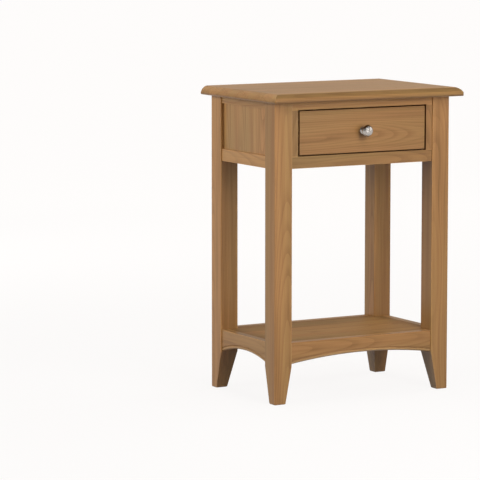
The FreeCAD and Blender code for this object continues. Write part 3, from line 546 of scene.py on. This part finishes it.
def oak_material(node, oak, pale=False):
    """Lacquered oak for one board, or paler sanded oak. Open wood, streaks, lines and fine grain
    take the colour from light wood towards ring wood, and pores are short dark streaks in it. The
    tone follows the board, its staves and soft clouds. Its arrises are paler, partly sanded wear
    and partly a painted highlight, and painted shade darkens its seams."""
    grain, across, heart, tone, _ = BOARDS[node]
    centre, size = box_middle(node)
    material = bpy.data.materials.new(f"oak_{node}")
    shader = Shader(material)
    place = shader.place(centre)
    axes = dict(zip("XYZ", shader.split(place)))
    through = [axis for axis in CROSS_AXES[grain] if axis != across][0]
    seed = sum(ord(letter) for letter in node) * SEED_STEP
    directions, stave_tone = staved(shader, node, (axes[across], axes[through], axes[grain]),
                                    size, seed)
    early = open_wood(shader, directions, seed, heart, oak)
    fine, streaks, clouds, lines = (grain_noise(shader, directions, seed, kind)
                                    for kind in ("fine", "streaks", "clouds", "lines"))
    dots = grain_noise(shader, directions, seed, "pores", oak.pore_length)
    pores = shader.step(dots, *PORES_FROM_TO) * (
        early * (1 - PORES_IN_DENSE_WOOD) + PORES_IN_DENSE_WOOD)
    tint = early * RING_SHARE + shader.step(streaks, *STREAKS_FROM_TO) * STREAK_SHARE
    tint = tint + fine * FINE_SHARE + shader.step(lines, *LINES_FROM_TO) * LINE_SHARE + TINT_START
    if pale:
        light, dark = solid(oak.box_wood_and_bead_highlight), darker(oak.box_wood_and_bead_highlight, BOX_RING_TONE)
    else:
        hue = shader.step(grain_noise(shader, directions, seed, "hue"), *HUE_FROM_TO)
        light = shader.blend(hue, solid(oak.light), solid(oak.olive))
        dark = solid(oak.dark)
    colour = shader.blend(tint, light, dark)
    colour = shader.blend(pores * PORE_DEPTH, colour, solid(oak.pore_and_quirk_shade))
    value = (clouds * CLOUD_DEPTH + (1 - CLOUD_DEPTH / 2)) * tone * stave_tone
    # Paler arrises: partly sanded wear, partly a painted highlight.
    value = value + edge_mask(shader, place, size, oak.edge_width) * oak.arris_wear_and_highlight
    # Painted shade where the board meets the legs, and on panels a wider painted shadow of the
    # legs.
    planes = joint_planes(node)
    if planes:
        reach = PANEL_PAINTED_SHADOW_WIDTH if node.endswith("_panel") else SEAM_WIDTH
        value = value * (1 - plane_mask(shader, axes, centre, planes, reach) * SEAM_PAINTED_SHADE)
    # Painted shade and a painted highlight on the tabletop's moulded edge.
    if node == "tabletop":
        value = value * moulding_painted_light(shader, axes, size)
    colour = shader.add("ShaderNodeVectorMath", {"operation": "SCALE"},
                        {0: colour, "Scale": value})
    # Painted shade in the quirk and a painted highlight on the crown of the bead.
    if node.startswith("apron_"):
        distance = bead_distance(axes, centre, node)
        colour = shader.blend(shader.band(distance, *QUIRK) * QUIRK_SHADE, colour,
                              solid(oak.pore_and_quirk_shade))
        colour = shader.blend(shader.band(distance, *CROWN) * CROWN_PAINTED_HIGHLIGHT, colour,
                              solid(oak.box_wood_and_bead_highlight))
    # Painted shade at the mouth of the gap round the drawer.
    gap = 0.0
    if node in FRONT_FRAME:
        gap = gap_painted_shade_mask(shader, axes, centre, node)
        colour = shader.blend(gap * GAP_SHADE, colour, solid(oak.gap))
    surface = 1 - pores * PORE_HOLLOW - early * RING_HOLLOW + fine * FINE_RELIEF
    sheen = SHELF_ROUGHNESS if node == "shelf" else oak.roughness
    dullness = pores * PORE_DULLNESS + streaks * STREAK_DULLNESS + gap * GAP_DULLNESS
    base = (BOX_ROUGHNESS if pale else sheen) - STREAK_DULLNESS / 2
    shader.finish({
        "Base Color": colour, "Roughness": dullness + base, "IOR": LACQUER_IOR,
        "Specular IOR Level": LACQUER_SPECULAR,
        "Normal": shader.bump(LACQUER_BUMP, LACQUER_DEPTH, surface)})
    return material


def metal_material(name, colour, roughness, pitch, axis, centre):
    """Satin metal with fine marks round the axis that it was turned on: the height is a sine of
    the distance from that axis. A soft cloud takes its colour down by up to a fifth."""
    material = bpy.data.materials.new(name)
    shader = Shader(material)
    place = shader.place(centre)
    axes = dict(zip("XYZ", shader.split(place)))
    first, second = (axes[letter] for letter in CROSS_AXES[axis])
    distance = (first * first + second * second) ** 0.5
    rings = ((distance + axes[axis]) * (2 * math.pi / pitch)).maths("SINE")
    cloud = shader.noise(place, 120.0, 2.0)
    mixed = shader.blend(shader.step(cloud, 0.35, 0.70), solid(colour), darker(colour, 0.80))
    relief = shader.bump(0.35, 0.00005, rings * 0.5 + cloud * 0.2)
    shader.finish({
        "Base Color": mixed, "Metallic": 1.0, "Roughness": cloud * 0.10 + (roughness - 0.05),
        "Normal": relief})
    return material


def gap_shade_felt_material(centre, colour):
    """A dark matt strip that looks like wool felt and stands in for the shade in the gap under the
    drawer front. Noise in two sizes makes the fibres and the uneven dye.
    """
    material = bpy.data.materials.new("gap_shade_brown_felt")
    shader = Shader(material)
    place = shader.place(centre)
    fibres = shader.noise(place, 2600.0, 3.0)
    dye = shader.noise(place, 120.0, 2.0)
    mixed = shader.blend(fibres * 0.6 + dye * 0.3, solid(colour), darker(colour, 0.55))
    relief = shader.bump(0.6, 0.0003, fibres)
    shader.finish({"Base Color": mixed, "Roughness": fibres * 0.1 + 0.88, "Normal": relief})
    return material


def assign(node, material):
    """Give a CAD node, or a new piece, one material."""
    mesh = NODES[node].data if isinstance(node, str) else node.data
    mesh.materials.clear()
    mesh.materials.append(material)


def finish_boards(context, *nodes):
    """Give each board an oak material of its own."""
    oak = context.scene.table_oak
    for node in nodes:
        assign(node, oak_material(node, oak, pale=node in DRAWER_BOX))


def mesh_piece(name, points, faces):
    """A mesh piece from points and faces. Doubled points are merged, and faces point outwards."""
    mesh = bpy.data.meshes.new(name)
    mesh.from_pydata(points.tolist(), [], faces)
    shape = bmesh.new()
    shape.from_mesh(mesh)
    bmesh.ops.remove_doubles(shape, verts=shape.verts, dist=1e-6)
    bmesh.ops.dissolve_degenerate(shape, edges=shape.edges, dist=1e-7)
    bmesh.ops.recalc_face_normals(shape, faces=shape.faces)
    shape.to_mesh(mesh)
    shape.free()
    piece = bpy.data.objects.new(name, mesh)
    bpy.context.scene.collection.objects.link(piece)
    return piece


def grid_faces(rows, steps):
    """The faces of a grid that closes on itself: rows of points, and columns round an axis."""
    row, column = np.meshgrid(np.arange(rows - 1), np.arange(steps), indexing="ij")
    after = (column + 1) % steps
    return np.stack((row * steps + column, (row + 1) * steps + column,
                     (row + 1) * steps + after, row * steps + after), axis=-1).reshape(-1, 4)


def arc(centre, radius, start, end, count):
    """Points of an arc, from a start angle to an end angle in degrees."""
    angle = np.radians(np.linspace(start, end, count))
    return np.stack((centre[0] + radius * np.cos(angle),
                     centre[1] + radius * np.sin(angle)), axis=-1).tolist()


def lathe(name, profile, steps):
    """A turned piece. Each point (r, t) of the profile, radius and distance from the face it
    stands on, is swept round the knob's axis: x = r cos a, y = front - t, z = middle + r sin a.
    Rows are points of the profile and columns are angles. The pole is one point with a fan."""
    low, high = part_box("knob")
    front, middle = high[1], (low[2] + high[2]) / 2
    centre = (low[0] + high[0]) / 2
    radius, reach = np.array(profile).T
    angle = np.linspace(0, 2 * math.pi, steps, endpoint=False)
    grid = np.stack((centre + radius[:, None] * np.cos(angle),
                     front - reach[:, None] * np.ones(steps),
                     middle + radius[:, None] * np.sin(angle)), axis=-1)
    return mesh_piece(name, grid.reshape(-1, 3), grid_faces(len(radius), steps).tolist())


def knob_profile():
    """The knob's outline, from the middle of its foot to the middle of its face, in metres as
    (radius, distance from the drawer front). The foot is a small disc with a rounded edge, the
    neck is a hollow curve, and the head flares to a narrow rim and ends in a shallow dome, whose
    height falls with the square of the radius."""
    low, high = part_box("knob")
    rim, length = (high[2] - low[2]) / 2, high[1] - low[1]
    foot_radius, foot_round_at, foot_round = 0.0086, (0.0082, 0.0013), 0.0009
    neck_radius, neck_flare, neck_from, neck_to = 0.0049, 0.0026, 0.0023, 0.0090
    flare_inset, flare_to = 0.0009, length - 0.0085
    rim_round, rim_at = 0.0012, length - 0.0075
    face_radius, dome_height = 0.0112, 0.0018
    foot = [(0.0, 0.0), (foot_radius, 0.0)] + arc(foot_round_at, foot_round, -80, 90, 9)
    share = np.linspace(0, 1, 12)
    body = list(zip(neck_radius + neck_flare * (1 - share) ** 3,
                    neck_from + (neck_to - neck_from) * share))
    share = np.linspace(0, 1, 26)[1:]
    opening = rim - flare_inset - neck_radius
    body += list(zip(neck_radius + opening * (0.55 * share ** 1.6 + 0.45 * share),
                     neck_to + (flare_to - neck_to) * share))
    edge = arc((rim - rim_round, rim_at), rim_round, -60, 30, 9)
    band_radius, band_at = edge[-1]
    band = [(band_radius + (face_radius - band_radius) * share,
             band_at + (length - dome_height - band_at) * share)
            for share in (0.2, 0.4, 0.6, 0.8, 1.0)]
    dome_radius = face_radius * np.linspace(0.96, 0, 18)
    dome = list(zip(dome_radius, length - dome_height * (dome_radius / face_radius) ** 2))
    return foot + body + edge + band + dome


def smooth_turned(piece, crease=30.0):
    """Smooth shading, with the edges that bend more than the crease angle kept sharp."""
    piece.data.shade_smooth()
    piece.data.set_sharp_from_angle(angle=math.radians(crease))


def screw_piece(name, places, head_radius, head_height):
    """Raised screw heads with a cross recess that hang under a board. A head is a polar grid: the
    height below its seat is a dome, head_height * (1 - (r / head_radius) squared), less the
    recess, which is deep where the point lies within either arm of the cross. Its seat is
    flat."""
    arm_width, arm_reach, recess_depth, steps = 0.11, 0.56, 0.8, 72
    rings = np.concatenate((np.linspace(0, 0.62, 17), np.linspace(0.68, 1, 7)))
    angle = np.linspace(0, 2 * math.pi, steps, endpoint=False)
    x = head_radius * rings[:, None] * np.cos(angle)
    y = head_radius * rings[:, None] * np.sin(angle)
    height = head_height * (1 - rings[:, None] ** 2) * np.ones(steps)
    arm = np.minimum(np.abs(x), np.abs(y)) / (arm_width * head_radius)
    reach = np.maximum(np.abs(x), np.abs(y)) / (arm_reach * head_radius)
    recess = np.clip((1.35 - arm) / 0.5, 0, 1) * np.clip((1.1 - reach) / 0.2, 0, 1)
    height = height - recess_depth * head_height * recess
    seat = np.stack((x, y, np.zeros_like(x)), axis=-1)
    head = np.stack((x, y, -height), axis=-1)[::-1]
    grid = np.concatenate((seat, head[1:]))
    count = len(grid) * steps
    points = np.concatenate([grid.reshape(-1, 3) + np.array(place) for place in places])
    faces = grid_faces(len(grid), steps)
    faces = np.concatenate([faces + number * count for number in range(len(places))])
    return mesh_piece(name, points, faces.tolist())


def strip_piece(name, low, high, rounding, steps=8):
    """A straight strip between two corners, along X, with rounded long edges. Its section is four
    quarter circles joined by flats: y and z are a corner's centre plus rounding times the cosine
    and sine of the angle. The section is swept along x, and a middle point closes each end."""
    section = []
    for side_y, side_z, start in ((1, 1, 0), (-1, 1, 90), (-1, -1, 180), (1, -1, 270)):
        centre = ((high[1] if side_y > 0 else low[1]) - side_y * rounding,
                  (high[2] if side_z > 0 else low[2]) - side_z * rounding)
        section += arc(centre, rounding, start, start + 90, steps)
    section = np.array(section)
    count = len(section)
    rows = [np.column_stack((np.full(count, x), section)) for x in (low[0], high[0])]
    ends = np.array([(x, *section.mean(axis=0)) for x in (low[0], high[0])])
    points = np.concatenate((*rows, ends))
    faces = []
    for number in range(count):
        after = (number + 1) % count
        faces.append((number, after, count + after, count + number))
        faces.append((number, after, 2 * count))
        faces.append((count + number, count + after, 2 * count + 1))
    return mesh_piece(name, points, faces)


class TABLE_OT_tabletop(bpy.types.Operator):
    """Finish the tabletop and the battens under it in lacquered oak"""
    bl_idname = "telephone_table.tabletop"
    bl_label = "Tabletop"

    def execute(self, context):
        finish_boards(context, "tabletop", "top_batten_left", "top_batten_right")
        return {"FINISHED"}


class TABLE_OT_legs(bpy.types.Operator):
    """Finish the four legs in lacquered oak"""
    bl_idname = "telephone_table.legs"
    bl_label = "Legs"

    def execute(self, context):
        finish_boards(context, *(node for node in BOARDS if node.startswith("leg_")))
        return {"FINISHED"}


class TABLE_OT_case(bpy.types.Operator):
    """Finish the rails, stiles, panels and drawer runners in lacquered oak"""
    bl_idname = "telephone_table.case"
    bl_label = "Case"

    def execute(self, context):
        words = ("_rail", "_stile", "_panel", "_runner")
        finish_boards(context, *(node for node in BOARDS if any(word in node for word in words)))
        return {"FINISHED"}


class TABLE_OT_shelf(bpy.types.Operator):
    """Finish the low shelf and the arched aprons in lacquered oak"""
    bl_idname = "telephone_table.shelf"
    bl_label = "Shelf and aprons"

    def execute(self, context):
        finish_boards(context, "shelf", *(node for node in BOARDS if node.startswith("apron_")))
        return {"FINISHED"}


class TABLE_OT_drawer(bpy.types.Operator):
    """Finish the drawer front in lacquered oak and the box behind it in paler wood"""
    bl_idname = "telephone_table.drawer"
    bl_label = "Drawer"

    def execute(self, context):
        finish_boards(context, "drawer_front", *DRAWER_BOX)
        return {"FINISHED"}


class TABLE_OT_gap_shade_felt(bpy.types.Operator):
    """Lay a dark felt-like strip on the rail under the drawer front, which stands in for the shade
    in the gap there
    """
    bl_idname = "telephone_table.felt"
    bl_label = "Felt strip"

    def execute(self, context):
        settings = context.scene.table_felt
        end_gap, front_edge, back_edge, rounding = 0.002, 0.0100, 0.0010, 0.0006
        _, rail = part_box("front_bottom_rail")
        low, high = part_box("drawer_front")
        corner = (low[0] + end_gap, rail[1] - front_edge, rail[2] + HAIR)
        opposite = (high[0] - end_gap, rail[1] - back_edge, rail[2] + settings.thickness)
        # A dark strip standing in for the shade in the gap under the drawer front.
        felt = strip_piece("rail_gap_shade_strip", corner, opposite, rounding)
        smooth_turned(felt)
        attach(felt, "frame")
        assign(felt, gap_shade_felt_material(corner, settings.colour))
        return {"FINISHED"}


class TABLE_OT_knob(bpy.types.Operator):
    """Turn the satin nickel knob"""
    bl_idname = "telephone_table.knob"
    bl_label = "Knob"

    def execute(self, context):
        settings = context.scene.table_metal
        knob = lathe("turned_knob", knob_profile(), 96)
        smooth_turned(knob)
        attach(knob, "drawer")
        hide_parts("knob")
        centre, _ = box_middle("knob")
        assign(knob, metal_material("satin_nickel", settings.nickel, settings.roughness,
                                    settings.turning_pitch, "Y", centre))
        return {"FINISHED"}


class TABLE_OT_screws(bpy.types.Operator):
    """Add the screws in the battens, and finish the other screws in zinc-plated steel"""
    bl_idname = "telephone_table.screws"
    bl_label = "Screws"

    def execute(self, context):
        settings = context.scene.table_metal
        head_radius, head_height, shares = 0.0042, 0.0013, (0.17, 0.83)
        places = []
        for node in ("top_batten_left", "top_batten_right"):
            low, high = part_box(node)
            for share in shares:
                places.append(((low[0] + high[0]) / 2, low[1] + share * (high[1] - low[1]),
                               low[2] - HAIR))
        screws = screw_piece("batten_screws", places, head_radius, head_height)
        screws.data.shade_smooth()
        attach(screws, "frame")
        for piece, name, centre in (
                (screws, "batten_screws", places[0]),
                ("runner_screws", "runner_screws", box_middle("runner_screws")[0]),
                ("knob_bolt", "knob_bolt", box_middle("knob_bolt")[0])):
            assign(piece, metal_material(f"zinc_{name}", settings.steel, STEEL_ROUGHNESS,
                                         STEEL_MARKS, "Z", centre))
        return {"FINISHED"}


class TABLE_OT_stage(bpy.types.Operator):
    """Set the pale floor, the studio light and the camera"""
    bl_idname = "telephone_table.stage"
    bl_label = "Stage"

    def execute(self, context):
        settings = context.scene.table_stage
        scene = context.scene
        scene.view_settings.view_transform = "Standard"
        floor_piece(settings)
        world_light(scene, settings)
        for name, bearing, elevation, reach, size, power, in_gloss in STUDIO_LIGHTS:
            area_light(name, bearing, elevation, reach, size, power * settings.light_level,
                       in_gloss)
        camera = bpy.data.objects.new("camera", bpy.data.cameras.new("camera"))
        camera.data.sensor_width = 36.0
        camera.data.lens = settings.lens
        camera.data.clip_end = 200.0
        camera.location = settings.camera_place
        camera.rotation_euler = (math.pi / 2 - settings.camera_pitch, 0, -settings.camera_turn)
        scene.collection.objects.link(camera)
        scene.camera = camera
        return {"FINISHED"}


def area_light(name, bearing, elevation, reach, size, power, in_gloss):
    """A studio light that faces the table and is not seen by the camera. Its bearing is in
    degrees from straight in front towards the right. One that isn't seen in gloss lights the
    table evenly, with no glare in the lacquer."""
    light = bpy.data.lights.new(name, "AREA")
    light.shape = "RECTANGLE"
    light.size, light.size_y = size
    light.energy = power
    lamp = bpy.data.objects.new(name, light)
    turn, lift = math.radians(bearing), math.radians(elevation)
    away = Vector((math.sin(turn) * math.cos(lift), -math.cos(turn) * math.cos(lift),
                   math.sin(lift)))
    lamp.location = LIGHTS_FACE + away * reach
    lamp.rotation_euler = (-away).to_track_quat("-Z", "Y").to_euler()
    lamp.visible_camera = False
    lamp.visible_glossy = in_gloss
    bpy.context.scene.collection.objects.link(lamp)


def floor_piece(settings):
    """A wide flat floor. The camera and mirrors see it white, with the table's real shadow in it,
    and it throws back less light on the wood than a white floor would. From underneath it is
    clear, so the table can be looked at from below."""
    corners = np.array([(-1, -1, 0), (1, -1, 0), (1, 1, 0), (-1, 1, 0)])
    floor = mesh_piece("floor", corners * FLOOR_REACH, [(0, 1, 2, 3)])
    material = bpy.data.materials.new("pale_floor")
    shader = Shader(material)
    seen_directly = shader.add("ShaderNodeLightPath", output="Is Camera Ray")
    seen_in_gloss = shader.add("ShaderNodeLightPath", output="Is Glossy Ray")
    seen = seen_directly.maths("MAXIMUM", seen_in_gloss)
    x, y, _ = shader.split(shader.place((0.0, 0.0, 0.0)))
    distance = (x * x + y * y) ** 0.5
    paper = shader.add("ShaderNodeBsdfDiffuse", None, {"Color": solid([FLOOR_SHADOW_GREY] * 3)})
    glow = shader.add("ShaderNodeEmission", None, {
        "Color": shader.blend(shader.step(distance, *FLOOR_FADE),
                              darker(settings.backdrop, FLOOR_NEAR), solid(settings.backdrop))})
    lit = shader.add("ShaderNodeAddShader", None, {0: paper, 1: glow})
    matte = shader.add("ShaderNodeBsdfDiffuse", None, {"Color": solid([FLOOR_GREY] * 3)})
    both = shader.add("ShaderNodeMixShader", None, {0: seen, 1: matte, 2: lit})
    underneath = shader.add("ShaderNodeNewGeometry", output="Backfacing")
    clear = shader.add("ShaderNodeBsdfTransparent")
    surface = shader.add("ShaderNodeMixShader", None, {0: underneath, 1: both, 2: clear})
    shader.add("ShaderNodeOutputMaterial", None, {"Surface": surface})
    assign(floor, material)


def world_light(scene, settings):
    """Even soft light on the table, a white surround for the camera, and for mirrors a pale
    horizon that darkens upwards to a studio ceiling."""
    world = bpy.data.worlds.new("studio")
    scene.world = world
    shader = Shader(world)
    camera_ray = shader.add("ShaderNodeLightPath", output="Is Camera Ray")
    glossy_ray = shader.add("ShaderNodeLightPath", output="Is Glossy Ray")
    direction = shader.add("ShaderNodeTexCoord", output="Generated")
    height = shader.split(direction)[2]
    mirror = HORIZON - shader.step(height, *CEILING_FROM_TO) * CEILING_DROP
    strength = shader.blend_numbers(glossy_ray, settings.ambient, mirror)
    strength = shader.blend_numbers(camera_ray, strength, 1.0)
    surround = shader.add("ShaderNodeBackground", None,
                          {"Color": solid(settings.backdrop), "Strength": strength})
    shader.add("ShaderNodeOutputWorld", None, {"Surface": surround})


class TABLE_PT_sidebar(bpy.types.Panel):
    """The settings and the pieces, in the sidebar"""
    bl_idname = "TABLE_PT_sidebar"
    bl_label = "Telephone Table"
    bl_space_type = "VIEW_3D"
    bl_region_type = "UI"
    bl_category = "Telephone Table"

    def draw(self, context):
        for name in SETTINGS:
            settings = getattr(context.scene, name)
            box = self.layout.box()
            for setting in settings.__annotations__:
                box.prop(settings, setting)
        for operator in OPERATORS:
            self.layout.operator(operator.bl_idname)


OPERATORS = (TABLE_OT_tabletop, TABLE_OT_legs, TABLE_OT_case, TABLE_OT_shelf, TABLE_OT_drawer,
             TABLE_OT_gap_shade_felt, TABLE_OT_knob, TABLE_OT_screws, TABLE_OT_stage)
SETTINGS = {"table_oak": OakSettings, "table_metal": MetalSettings, "table_felt": GapShadeFeltSettings,
            "table_stage": StageSettings}


def register():
    for kind in (*SETTINGS.values(), *OPERATORS, TABLE_PT_sidebar):
        bpy.utils.register_class(kind)
    for name, kind in SETTINGS.items():
        setattr(bpy.types.Scene, name, bpy.props.PointerProperty(type=kind))


def unregister():
    for name in SETTINGS:
        delattr(bpy.types.Scene, name)
    for kind in (TABLE_PT_sidebar, *reversed(OPERATORS), *SETTINGS.values()):
        bpy.utils.unregister_class(kind)


def main():
    register()
    table = bpy.ops.telephone_table
    table.tabletop()
    table.legs()
    table.case()
    table.shelf()
    table.drawer()
    table.felt()
    table.knob()
    table.screws()
    table.stage()


if __name__ == "__main__":
    main()
